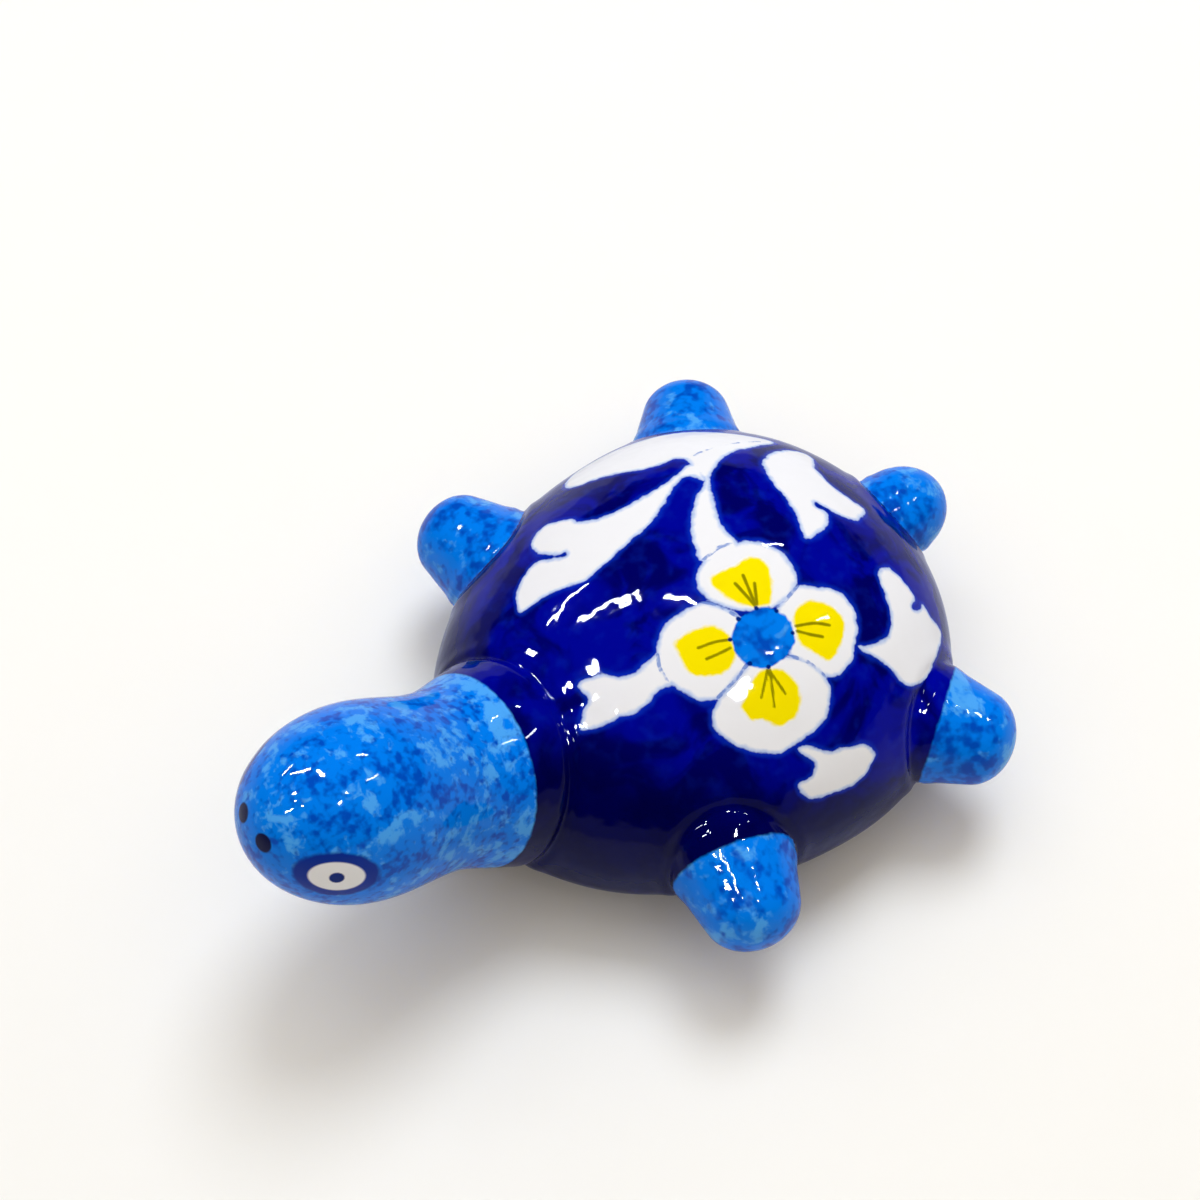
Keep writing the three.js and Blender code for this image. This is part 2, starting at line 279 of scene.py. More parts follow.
class TortoiseStubs(bpy.types.PropertyGroup):
    """Sizes of the feet, the tail and the slip joints."""

    foot_height: length("Foot height", "Height of the axis of each foot", 17.7 * MM)
    foot_radius: length("Foot radius", "Radius of the rounded end of a foot", 7.15 * MM)
    foot_taper: ratio("Foot taper", "How much the radius of a foot shrinks over a length", 0.27)
    foot_toe: length("Foot toe", "Length of the rounded end of a foot", 5.8 * MM)
    front_bearing: turn("Front bearing", "Place of the front feet, behind straight sideways", -34.2)
    front_heading: turn("Front heading", "Way the front feet point, behind straight sideways", -16.5)
    front_reach: length("Front reach", "How far the front feet stand out", 11.58 * MM)
    rear_bearing: turn("Rear bearing", "Place of the rear feet, behind straight sideways", 28.3)
    rear_heading: turn("Rear heading", "Way the rear feet point, behind straight sideways", 34.4)
    rear_reach: length("Rear reach", "How far the rear feet stand out", 10.9 * MM)
    tail_height: length("Tail height", "Height of the axis of the tail", 21 * MM)
    tail_radius: length("Tail radius", "Radius of the rounded end of the tail", 7.1 * MM)
    tail_taper: ratio("Tail taper", "How much the radius of the tail shrinks over a length", 0.02)
    tail_toe: length("Tail toe", "Length of the rounded end of the tail", 8.4 * MM)
    tail_reach: length("Tail reach", "How far the tail stands out", 8.98 * MM)
    root_depth: length("Root depth", "How deep a stub starts inside the skin", 10 * MM)
    seat_depth: length("Seat depth", "How deep the roots are seated in the slip", 2 * MM)
    fillet: length("Fillet", "How far the slip is smoothed out from a joint", 3.2 * MM)
    fold_depth: length("Fold depth", "Depth of the soft fold left in a joint", 0.65 * MM)
    fold_width: length("Fold width", "Half width of the soft fold left in a joint", 0.9 * MM)


class TortoiseHead(bpy.types.PropertyGroup):
    """Sizes of the head and neck."""

    root_inset: length("Root inset", "How far inside the front of the shell the axis starts", 14.3 * MM)
    root_height: length("Root height", "Height of the start of the axis", 18.6 * MM)
    bend_inset: length("Bend inset", "How far inside the front of the shell the axis bends", 0.6 * MM)
    bend_height: length("Bend height", "Height of the bend of the axis", 22.4 * MM)
    snout_reach: length("Snout reach", "How far the snout stands in front of the shell", 28.87 * MM)
    snout_height: length("Snout height", "Height of the tip of the snout", 45.9 * MM)
    collar_radius: length("Collar radius", "Radius of the neck at its root", 15 * MM)
    collar_length: length("Collar length", "Length of the even collar", 8.3 * MM)
    neck_radius: length("Neck radius", "Radius of the waist of the neck", 12.7 * MM)
    neck_length: length("Neck length", "Length from the collar to the waist", 12.5 * MM)
    head_radius: length("Head radius", "Radius of the head at its widest", 13.58 * MM)
    nape_length: length("Nape length", "Length from the waist to the widest part of the head", 12.1 * MM)
    paint_start: length("Paint start", "Where along the neck the azure glaze starts", 13.5 * MM)


class TortoiseGlazes(bpy.types.PropertyGroup):
    """Colours of the underglaze painting, and the painted shade of the cobalt at the front."""

    cobalt_deep: colour("Deep cobalt", "Where the cobalt lies thickest", "#000060")
    cobalt: colour("Cobalt", "The shell's ground", "#000498")
    # Painted shade: darker cobalt laid on the lower front of the shell, where it faces away from the key lamp
    cobalt_painted_shade: colour("Painted shade cobalt", "Painted shade on the lower front of the shell", "#00003c")
    cobalt_thin: colour("Thin cobalt", "Where the cobalt bleeds out thin", "#0830c0")
    azure: colour("Azure", "Head, feet and tail", "#007ef2")
    azure_deep: colour("Deep azure", "Specks where the azure lies thick", "#004cc0")
    azure_pale: colour("Pale azure", "Patches where the azure lies thin", "#50aaf9")
    white: colour("White", "Leaves and petals, the bare white slip", "#f5f5f9")
    white_tinted: colour("Tinted white", "White that the cobalt has bled into", "#b4c8f0")
    yellow: colour("Yellow", "Middle of each petal", "#ffe900")
    ink: colour("Ink", "Thin brush lines over the other colours", "#98aee2")
    ink_deep: colour("Deep ink", "Stamens", "#909458")
    eye_ring: colour("Eye ring", "Ring round each eye", "#002c98")
    pupil: colour("Pupil", "Pupils, and the seeds round the flower's eye", "#00247c")
    nostril: colour("Nostril", "Nostrils", "#04083c")


def arc(radius, height, level, angles):
    """Points of an elliptical arc, as (radius, height) at angles above its widest line."""
    return np.column_stack([radius * np.cos(angles), level + height * np.sin(angles)])


def swell(from_radius, to_radius, start, span):
    """Points of a smooth swell from one radius to another along an axis, level at both ends."""
    share = np.linspace(0, 1, max(2, round(span / ROLL_ROW)))
    ease = (1 - np.cos(math.pi * share)) / 2
    return np.column_stack([start + span * share, from_radius + (to_radius - from_radius) * ease])


def belly_depth(shell):
    """Depth of the half ellipse that the flat base cuts the belly from."""
    return shell.rim_height / math.sin(math.acos(shell.base_half_width / shell.half_width))


def dents(points, shell):
    """Depth of the shallow dips that pressing the clay by hand leaves."""
    x, y, z = points.T / MM
    wave = np.sin(x / 5.1 + y / 7.3 + 1.0) * np.cos(y / 6.1 - z / 4.7) + np.sin(z / 5.9 - x / 8.3 + y / 11.0)
    return shell.unevenness * (0.5 + wave / 4)


def skin_axes(points, shell):
    """Half axes of the quarter of the egg that each point lies in."""
    reach = np.where(points[:, 1] < 0, shell.front_reach, shell.rear_reach)
    rise = np.where(points[:, 2] < shell.rim_height, belly_depth(shell), shell.dome_rise)
    return np.column_stack([np.full(len(points), shell.half_width), reach, rise])


def shell_gap(points, shell):
    """Distance of points outside the skin of the shell."""
    axes = skin_axes(points, shell)
    shares = (points - (0, 0, shell.rim_height)) / axes
    level = np.linalg.norm(shares, axis=1)
    steepness = np.linalg.norm(shares / axes, axis=1) / np.maximum(level, TINY)
    return (level - 1) / np.maximum(steepness, TINY) + dents(points, shell)


def skin_place(points, shell):
    """Places on the skin of the shell as millimetres along it from the crown."""
    axes = skin_axes(points, shell)
    across = points[:, :2] / axes[:, :2]
    out = np.linalg.norm(across, axis=1)
    angle = np.arctan2(out, (points[:, 2] - shell.rim_height) / axes[:, 2])
    scale = (angle / np.maximum(out, TINY))[:, None]
    return across * scale * axes[:, :2] / MM


def skin_point(bearing, height, shell):
    """The point of the shell's skin at a height, in the direction of an angle about Z from +X."""
    drop = height - shell.rim_height
    level = drop / (shell.dome_rise if drop > 0 else belly_depth(shell))
    reach = shell.front_reach if math.sin(bearing) < 0 else shell.rear_reach
    across = math.hypot(math.cos(bearing) / shell.half_width, math.sin(bearing) / reach)
    out = math.sqrt(1 - level * level) / across
    return np.array([out * math.cos(bearing), out * math.sin(bearing), height])


class Roll:
    """A roll of clay: a profile of (along, radius) points about an axis that bends from root to tip."""

    def __init__(self, root, bend, tip):
        self.root, self.bend, self.tip = np.array(root), np.array(bend), np.array(tip)
        self.shares = np.linspace(0, 1, PATH_STEPS + 1)
        self.path = self.place(self.shares)
        steps = np.linalg.norm(np.diff(self.path, axis=0), axis=1)
        self.lengths = np.concatenate([[0], np.cumsum(steps)])
        self.profile = None

    def place(self, share):
        """Points of the axis at shares of its curve."""
        t = share[:, None]
        return (1 - t) ** 2 * self.root + 2 * t * (1 - t) * self.bend + t * t * self.tip

    def slope(self, share):
        """Direction and speed of the axis at shares of its curve."""
        t = share[:, None]
        return 2 * (1 - t) * (self.bend - self.root) + 2 * t * (self.tip - self.bend)

    def nearest(self, points):
        """Shares of the axis's curve at its steps nearest to points."""
        squares = (points ** 2).sum(1)[:, None] - 2 * points @ self.path.T + (self.path ** 2).sum(1)
        return self.shares[squares.argmin(1)]

    def measure(self, points):
        """How far along the roll points lie, how far outside its side, and the way out from its axis."""
        share = self.nearest(points)
        bending = 2 * (self.root - 2 * self.bend + self.tip)
        for _ in range(NEAREST_ROUNDS):
            away = self.place(share) - points
            speed = self.slope(share)
            fall = (speed ** 2).sum(1) + away @ bending
            share = np.clip(share - (away * speed).sum(1) / np.maximum(fall, TINY), 0, 1)
        out = points - self.place(share)
        radius = np.linalg.norm(out, axis=1)
        along = np.interp(share, self.shares, self.lengths)
        side = np.interp(along, self.profile[:, 0], self.profile[:, 1])
        return along, radius - side, out / np.maximum(radius, TINY)[:, None]

    def heading(self, points):
        """Direction of the axis, towards the tip, beside points."""
        speed = self.slope(self.nearest(points))
        return speed / np.linalg.norm(speed, axis=1)[:, None]


def make_stub(place, direction, radius, taper, toe, reach, stubs):
    """A straight stub from inside the skin outwards: a taper that runs smoothly into a rounded end."""
    root = place - direction * stubs.root_depth
    tip = place + direction * reach
    roll = Roll(root, (root + tip) / 2, tip)
    lean = math.atan(taper * toe / radius)
    angles = np.linspace(lean, math.pi / 2, TOE_ROWS)
    rounding = arc(radius, toe, stubs.root_depth + reach - toe, angles)[:, ::-1]
    end, end_radius = rounding[0]
    along = np.linspace(0, end, round(end / ROLL_ROW))[:-1]
    roll.profile = np.concatenate([np.column_stack([along, end_radius + taper * (end - along)]), rounding])
    return roll


def make_neck(shell, head):
    """The bent roll of the head and neck: collar, waist, nape and a blunt muzzle."""
    roll = Roll(
        (0, head.root_inset - shell.front_reach, head.root_height),
        (0, head.bend_inset - shell.front_reach, head.bend_height),
        (0, -head.snout_reach - shell.front_reach, head.snout_height),
    )
    waist = head.collar_length + head.neck_length
    crown = waist + head.nape_length
    rounding = np.linspace(0, math.pi / 2, 2 * TOE_ROWS)
    muzzle = roll.lengths[-1] - crown
    roll.profile = np.concatenate([
        swell(head.collar_radius, head.collar_radius, 0, head.collar_length),
        swell(head.collar_radius, head.neck_radius, head.collar_length, head.neck_length)[1:],
        swell(head.neck_radius, head.head_radius, waist, head.nape_length)[1:],
        arc(head.head_radius, muzzle, crown, rounding)[1:, ::-1],
    ])
    return roll


def make_rolls(scene):
    """All the rolls that are luted onto the shell, by the names of their CAD nodes."""
    shell, stubs = scene.tortoise_shell, scene.tortoise_stubs
    rolls = {"head_and_neck": make_neck(shell, scene.tortoise_head)}
    pairs = {
        "front": (stubs.front_bearing, stubs.front_heading, stubs.front_reach),
        "rear": (stubs.rear_bearing, stubs.rear_heading, stubs.rear_reach),
    }
    for pair, (bearing, heading, reach) in pairs.items():
        for hand, side in (("left", 1), ("right", -1)):
            mirror = np.array([side, 1, 1])
            place = skin_point(bearing, stubs.foot_height, shell) * mirror
            direction = np.array([math.cos(heading), math.sin(heading), 0]) * mirror
            rolls[f"{pair}_{hand}_foot"] = make_stub(
                place, direction, stubs.foot_radius, stubs.foot_taper, stubs.foot_toe, reach, stubs)
    rolls["tail"] = make_stub(
        skin_point(math.pi / 2, stubs.tail_height, shell), np.array([0, 1, 0]),
        stubs.tail_radius, stubs.tail_taper, stubs.tail_toe, stubs.tail_reach, stubs)
    return rolls


def blended(own, other, stubs):
    """Level of two skins with the slip smoothed between them: zero on the skin and growing outwards."""
    near = np.clip(1 - np.abs(own - other) / stubs.fillet, 0, 1)
    fold = stubs.fold_depth * np.exp(-((own - other) / stubs.fold_width) ** 2)
    return np.minimum(own, other) - near ** 2 * stubs.fillet / 4 + fold


def tucked(own, other, stubs):
    """Level of the blended skin on the side that owns it, tucked under the other skin past the joint."""
    return blended(own, other, stubs) + 2 * np.maximum(own - other, 0)


def rolls_gap(points, stubs, rolls):
    """Distance of points outside the nearest of the rolls, where they are near one."""
    gap = np.full(len(points), 1.0)
    for roll in rolls.values():
        middle = (roll.root + roll.tip) / 2
        reach = roll.lengths[-1] / 2 + roll.profile[:, 1].max() + 2 * stubs.fillet
        beside = np.linalg.norm(points - middle, axis=1) < reach
        if beside.any():
            gap[beside] = np.minimum(gap[beside], roll.measure(points[beside])[1])
    return gap


def steepest(points, level):
    """Directions in which a level grows fastest at points."""
    sides = np.eye(3) * PROBE
    ways = np.column_stack([level(points + side) - level(points - side) for side in sides])
    return ways / np.linalg.norm(ways, axis=1)[:, None]


def add(tree, kind, inputs=None, **settings):
    """Adds a node with its settings, and links or sets its inputs."""
    node = tree.nodes.new(kind)
    for name, value in settings.items():
        setattr(node, name, value)
    for key, value in (inputs or {}).items():
        if isinstance(value, bpy.types.NodeSocket):
            tree.links.new(value, node.inputs[key])
        else:
            node.inputs[key].default_value = value
    return node


def maths(tree, operation, *values):
    """What a math node makes of values."""
    return add(tree, "ShaderNodeMath", dict(enumerate(values)), operation=operation).outputs[0]


def vectors(tree, operation, *values, **named):
    """What a vector math node makes of vectors."""
    inputs = {**dict(enumerate(values)), **named}
    return add(tree, "ShaderNodeVectorMath", inputs, operation=operation).outputs[0]


def between(tree, share, start, end):
    """The value at a share of the way from one value to another."""
    return add(tree, "ShaderNodeMix", {0: share, 2: start, 3: end}).outputs[0]


def ramp(tree, value, start, end, most=1.0, kind="SMOOTHSTEP"):
    """A share that grows from zero, where a value is at its start, to its most at the end."""
    return add(tree, "ShaderNodeMapRange", {
        "Value": value, "From Min": start, "From Max": end, "To Max": most,
    }, interpolation_type=kind).outputs[0]


def new_tree(name, inputs):
    """An empty geometry tree with named inputs, given as name to socket type, and what they give."""
    tree = bpy.data.node_groups.new(name, "GeometryNodeTree")
    tree.interface.new_socket("Profile", in_out="INPUT", socket_type="NodeSocketGeometry")
    for label, kind in inputs.items():
        tree.interface.new_socket(label, in_out="INPUT", socket_type="NodeSocket" + kind)
    tree.interface.new_socket("Piece", in_out="OUTPUT", socket_type="NodeSocketGeometry")
    return tree, add(tree, "NodeGroupInput").outputs


def turned_grid(tree, given):
    """A grid with a row for each profile point and columns round the axis, and what each point of it reads:
    the profile point of its row, and the cosine and the sine of its angle."""
    rows = add(tree, "GeometryNodeAttributeDomainSize", {"Geometry": given["Profile"]}).outputs["Point Count"]
    columns = maths(tree, "ADD", given["Columns"], 1.0)
    grid = add(tree, "GeometryNodeMeshGrid", {"Vertices X": rows, "Vertices Y": columns}).outputs["Mesh"]
    index = add(tree, "GeometryNodeInputIndex").outputs[0]
    row = maths(tree, "FLOOR", maths(tree, "DIVIDE", index, columns))
    column = maths(tree, "MODULO", index, columns)
    place = add(tree, "GeometryNodeInputPosition").outputs[0]
    point = add(tree, "GeometryNodeSampleIndex", {
        "Geometry": given["Profile"], "Value": place, "Index": row,
    }, data_type="FLOAT_VECTOR", domain="POINT").outputs[0]
    parts = add(tree, "ShaderNodeSeparateXYZ", {0: point}).outputs
    share = maths(tree, "DIVIDE", column, given["Columns"])
    angle = maths(tree, "MULTIPLY", share, 2 * math.pi)
    return grid, parts, maths(tree, "COSINE", angle), maths(tree, "SINE", angle)


def closed_piece(tree, mesh, given):
    """Closes the seam and the poles of a turned grid and gives it its glaze."""
    merged = add(tree, "GeometryNodeMergeByDistance", {"Geometry": mesh, "Distance": MERGE_REACH})
    smooth = add(tree, "GeometryNodeSetShadeSmooth", {"Geometry": merged.outputs[0]})
    real = add(tree, "GeometryNodeRealizeInstances", {"Geometry": smooth.outputs[0]})
    glazed = add(tree, "GeometryNodeSetMaterial", {"Geometry": real.outputs[0], "Material": given["Glaze"]})
    add(tree, "NodeGroupOutput", {"Piece": glazed.outputs[0]})


def egg_tree():
    """Geometry nodes that turn a profile of (radius, inset, height) points about Z and draw it out to the
    shell's egg-shaped plan. The flat middle is drawn back round the firing vent."""
    tree, given = new_tree("egg_turned", {
        "Columns": "Int", "Half Width": "Float", "Front Reach": "Float", "Rear Reach": "Float",
        "Vent Radius": "Float", "Vent Setback": "Float", "Vent Fade": "Float", "Glaze": "Material",
    })
    grid, (radius, inset, height), across, along = turned_grid(tree, given)
    forward = maths(tree, "LESS_THAN", along, 0.0)
    reach = between(tree, forward, given["Rear Reach"], given["Front Reach"])
    inner_reach = maths(tree, "SUBTRACT", reach, inset)
    inner_width = maths(tree, "SUBTRACT", given["Half Width"], inset)
    stretch = maths(tree, "DIVIDE", inner_reach, inner_width)
    near_vent = ramp(tree, radius, given["Vent Fade"], given["Vent Radius"], kind="LINEAR")
    egg = between(tree, near_vent, stretch, 1.0)
    x = maths(tree, "MULTIPLY", radius, across)
    round_y = maths(tree, "MULTIPLY", radius, along)
    egg_y = maths(tree, "MULTIPLY", round_y, egg)
    y = maths(tree, "MULTIPLY_ADD", given["Vent Setback"], near_vent, egg_y)
    place = add(tree, "ShaderNodeCombineXYZ", {"X": x, "Y": y, "Z": height}).outputs[0]
    drawn = add(tree, "GeometryNodeSetPosition", {"Geometry": grid, "Position": place})
    closed_piece(tree, drawn.outputs[0], given)
    return tree


def roll_tree():
    """Geometry nodes that turn a profile of (along, 0, radius) points about an axis bending from root to tip,
    and keep how far along it each point lies."""
    tree, given = new_tree("rolled_clay", {
        "Columns": "Int", "Root": "Vector", "Bend": "Vector", "Tip": "Vector", "Steps": "Int",
        "Glaze": "Material",
    })
    grid, (along, _, radius), across, upward = turned_grid(tree, given)
    axis = add(tree, "GeometryNodeCurveQuadraticBezier", {
        "Resolution": given["Steps"], "Start": given["Root"], "Middle": given["Bend"], "End": given["Tip"],
    }).outputs[0]
    spot = add(tree, "GeometryNodeSampleCurve", {"Curves": axis, "Length": along}, mode="LENGTH").outputs
    level = vectors(tree, "CROSS_PRODUCT", (0, 0, 1), spot["Tangent"])
    side = vectors(tree, "NORMALIZE", level)
    top = vectors(tree, "CROSS_PRODUCT", spot["Tangent"], side)
    side_way = vectors(tree, "SCALE", side, Scale=across)
    top_way = vectors(tree, "SCALE", top, Scale=upward)
    way = vectors(tree, "ADD", side_way, top_way)
    out = vectors(tree, "SCALE", way, Scale=radius)
    place = vectors(tree, "ADD", spot["Position"], out)
    rolled = add(tree, "GeometryNodeSetPosition", {"Geometry": grid, "Position": place}).outputs[0]
    kept = add(tree, "GeometryNodeStoreNamedAttribute", {"Geometry": rolled, "Name": "along", "Value": along},
               data_type="FLOAT", domain="POINT").outputs[0]
    closed_piece(tree, kept, given)
    return tree


def placed(name, data):
    """A new object in the scene."""
    new = bpy.data.objects.new(name, data)
    bpy.context.scene.collection.objects.link(new)
    return new


def grown(name, tree, profile, sizes):
    """A plain mesh object that a tree makes from profile points, with the tree's named inputs set."""
    line = bpy.data.meshes.new(name + "_profile")
    line.from_pydata(profile, [(i, i + 1) for i in range(len(profile) - 1)], [])
    carrier = placed(name + "_profile", line)
    modifier = carrier.modifiers.new("grown", "NODES")
    modifier.node_group = tree
    sockets = {item.name: item.identifier for item in tree.interface.items_tree if item.in_out == "INPUT"}
    for label, value in sizes.items():
        modifier[sockets[label]] = value
    evaluated = carrier.evaluated_get(bpy.context.evaluated_depsgraph_get())
    mesh = bpy.data.meshes.new_from_object(evaluated)
    bpy.data.objects.remove(carrier)
    bpy.data.meshes.remove(line)
    mesh.name = name
    shape = bmesh.new()
    shape.from_mesh(mesh)
    bmesh.ops.recalc_face_normals(shape, faces=shape.faces)
    shape.to_mesh(mesh)
    shape.free()
    return placed(name, mesh)


def read_points(mesh):
    """Vertex places of a mesh as an array."""
    points = np.zeros(len(mesh.vertices) * 3)
    mesh.vertices.foreach_get("co", points)
    return points.reshape(-1, 3)


def write_points(mesh, points):
    """Sets the vertex places of a mesh."""
    mesh.vertices.foreach_set("co", points.ravel())
    mesh.update()


def store(mesh, name, values):
    """Keeps a value for each vertex, for the materials to read."""
    attribute = mesh.attributes.get(name) or mesh.attributes.new(name, "FLOAT", "POINT")
    attribute.data.foreach_set("value", np.asarray(values, dtype=np.float32))


def smooth_line(points, closed):
    """A smooth line through points, as many short straight steps."""
    points = np.array(points, dtype=float)
    if closed:
        ring = np.concatenate([points[-1:], points, points[:2]])
    else:
        ring = np.concatenate([2 * points[:1] - points[1:2], points, 2 * points[-1:] - points[-2:-1]])
    steps = []
    for a, b, c, d in zip(ring, ring[1:], ring[2:], ring[3:]):
        for t in np.arange(LINE_STEPS) / LINE_STEPS:
            steps.append(((2 * b) + (c - a) * t + (2 * a - 5 * b + 4 * c - d) * t ** 2
                          + (3 * b - a - 3 * c + d) * t ** 3) / 2)
    steps.append(ring[-2])
    return np.array(steps)


def line_gap(places, line):
    """Distance of places from a line of straight steps."""
    nearest = np.full(len(places), np.inf)
    for start, end in zip(line, line[1:]):
        step = end - start
        share = np.clip((places - start) @ step / max(step @ step, TINY), 0, 1)
        nearest = np.minimum(nearest, np.linalg.norm(places - start - share[:, None] * step, axis=1))
    return nearest


def inside(places, loop):
    """Whether places lie inside a closed loop."""
    crossed = np.zeros(len(places), dtype=bool)
    for start, end in zip(loop, loop[1:]):
        spans = (start[1] > places[:, 1]) != (end[1] > places[:, 1])
        rise = end[1] - start[1] if abs(end[1] - start[1]) > TINY else TINY
        crossing = start[0] + (places[:, 1] - start[1]) / rise * (end[0] - start[0])
        crossed ^= spans & (places[:, 0] < crossing)
    return crossed


def around(places, line, margin):
    """Whether places lie in the box round a line, with a margin."""
    return np.all((places > line.min(0) - margin) & (places < line.max(0) + margin), axis=1)


def area_gap(places, outlines):
    """Distance of places outside painted areas, in millimetres, negative inside one."""
    gap = np.full(len(places), PAINT_MARGIN)
    for outline in outlines:
        loop = smooth_line(outline, closed=True)
        near = around(places, loop, PAINT_MARGIN)
        distance = line_gap(places[near], loop)
        distance[inside(places[near], loop)] *= -1
        gap[near] = np.minimum(gap[near], distance)
    return gap


def stroke_gap(places, lines, half_width):
    """How far places lie off brush strokes: minus one on a stroke's middle and zero at its edge."""
    gap = np.full(len(places), PAINT_MARGIN)
    for points in lines:
        line = smooth_line(points, closed=False) if len(points) > 1 else np.array(points * 2)
        near = around(places, line, STROKE_MARGIN)
        off = (line_gap(places[near], line) / half_width) ** 2 - 1
        gap[near] = np.minimum(gap[near], off)
    return gap


def paint_shell(mesh, places):
    """Keeps on the shell where each colour of the flower and its leaves lies."""
    store(mesh, "white_gap", area_gap(places, [*LEAVES.values(), *PETALS.values()]))
    store(mesh, "yellow_gap", area_gap(places, POLLEN.values()))
    store(mesh, "flower_eye_gap", area_gap(places, [FLOWER_EYE]))
    store(mesh, "line_gap", stroke_gap(places, FINE_LINES, FINE_LINE_HALF_WIDTH))
    store(mesh, "stamen_gap", stroke_gap(places, STAMENS, STAMEN_HALF_WIDTH))
    store(mesh, "seed_gap", stroke_gap(places, [[seed] for seed in SEEDS], SEED_RADIUS))


def shade(mesh, points, where, level):
    """Shades some points of a mesh as the smooth skin that a level gives."""
    normals = np.zeros_like(points)
    normals[where] = steepest(points[where], level)
    mesh.normals_split_custom_set_from_vertices(normals)


def lute_shell(mesh, shell, stubs, rolls):
    """Smooths the slip joints onto the outer skin, and shades it as one skin across rim and joints."""
    points = read_points(mesh)
    dry = shell_gap(points, shell) - dents(points, shell)
    skin = (np.abs(dry) < SKIN_REACH) & (points[:, 2] > shell.base_rounding)
    paint_shell(mesh, skin_place(points, shell))
    outer = points[skin]
    ways = steepest(outer, lambda places: shell_gap(places, shell))
    lift = np.zeros(len(outer))
    for _ in range(LUTE_ROUNDS):
        moved = outer + ways * lift[:, None]
        lift -= LUTE_PACE * tucked(shell_gap(moved, shell), rolls_gap(moved, stubs, rolls), stubs)
        lift = np.clip(lift, -shell.wall * TUCK_SHARE, stubs.fillet)
    points[skin] = outer + ways * lift[:, None]
    write_points(mesh, points)
    shade(mesh, points, skin,
          lambda places: blended(shell_gap(places, shell), rolls_gap(places, stubs, rolls), stubs))


def lute_roll(mesh, roll, shell, stubs):
    """Smooths a roll's root into its slip joint and seats its end just under the skin of the shell."""
    points = read_points(mesh)
    ways = roll.measure(points)[2]
    headings = roll.heading(points)
    lift = np.zeros(len(points))
    for _ in range(LUTE_ROUNDS):
        moved = points + ways * lift[:, None]
        level = tucked(roll.measure(moved)[1], shell_gap(moved, shell), stubs)
        lift = np.clip(lift - LUTE_PACE * np.where(shell_gap(moved, shell) < 2 * stubs.fillet, level, 0),
                       -stubs.root_depth, stubs.fillet)
    points = points + ways * lift[:, None]
    for _ in range(SEAT_ROUNDS):
        deep = np.maximum(-shell_gap(points, shell) - stubs.seat_depth, 0)
        points += headings * deep[:, None]
    write_points(mesh, points)
    beside = np.abs(shell_gap(points, shell)) < 1.5 * stubs.fillet
    shade(mesh, points, beside,
          lambda places: blended(roll.measure(places)[1], shell_gap(places, shell), stubs))


def mixed(tree, share, under, over, how="MIX"):
    """A colour laid over another by a share."""
    colours = [each if isinstance(each, bpy.types.NodeSocket) else (*each, 1) for each in (under, over)]
    return add(tree, "ShaderNodeMix", {0: share, 6: colours[0], 7: colours[1]}, data_type="RGBA",
               blend_type=how).outputs[2]


def noise(tree, place, span, **settings):
    """A soft seeded pattern whose features are about this wide."""
    return add(tree, "ShaderNodeTexNoise", {"Vector": place, "Scale": 1 / span, **settings}).outputs["Fac"]


def stored(tree, name):
    """The value that a mesh keeps for each vertex under a name."""
    return add(tree, "ShaderNodeAttribute", attribute_name=name).outputs["Fac"]


def surface(name, **settings):
    """A material with an empty tree, its shader and its place on the object."""
    material = bpy.data.materials.new(name)
    material.use_nodes = True
    tree = material.node_tree
    tree.nodes.clear()
    shader = add(tree, "ShaderNodeBsdfPrincipled", settings)
    add(tree, "ShaderNodeOutputMaterial", {"Surface": shader.outputs[0]})
    place = add(tree, "ShaderNodeTexCoord").outputs["Object"]
    return material, tree, shader, place


def clear_glaze(tree, shader, place, colour, span):
    """Lays a colour under a clear glaze with slow waves, this wide, which break up what it mirrors."""
    tree.links.new(colour, shader.inputs["Base Color"])
    waves = noise(tree, place, span, Detail=1.0)
    bump = add(tree, "ShaderNodeBump", {"Distance": WAVE_HEIGHT, "Height": waves})
    tree.links.new(bump.outputs[0], shader.inputs["Normal"])


def cobalt_wash(tree, place, paint):
    """Cobalt laid with a soft brush: deep pools, thin patches and fine streaks, and painted shade that
    darkens it towards the lower front.
    """
    pools = noise(tree, place, 9 * MM, Detail=3.0, Roughness=0.55, Distortion=0.8)
    thick = ramp(tree, pools, 0.42, 0.6)
    ground = mixed(tree, thick, paint.cobalt_deep, paint.cobalt)
    streaks = noise(tree, place, 2.4 * MM, Detail=2.0, Roughness=0.5)
    thin = ramp(tree, streaks, 0.52, 0.8, 0.25, "LINEAR")
    brushed = mixed(tree, thin, ground, paint.cobalt_thin)
    # Painted shade: the cobalt darkens towards the lower front and the animal's left, where the shell faces
    # away from the key lamp
    level = add(tree, "ShaderNodeVectorMath", {0: place, 1: SHADE_WAY},
                operation="DOT_PRODUCT").outputs["Value"]
    front_shade = ramp(tree, level, SHADE_TOP, SHADE_BOTTOM, 0.92)
    return mixed(tree, front_shade, brushed, paint.cobalt_painted_shade)


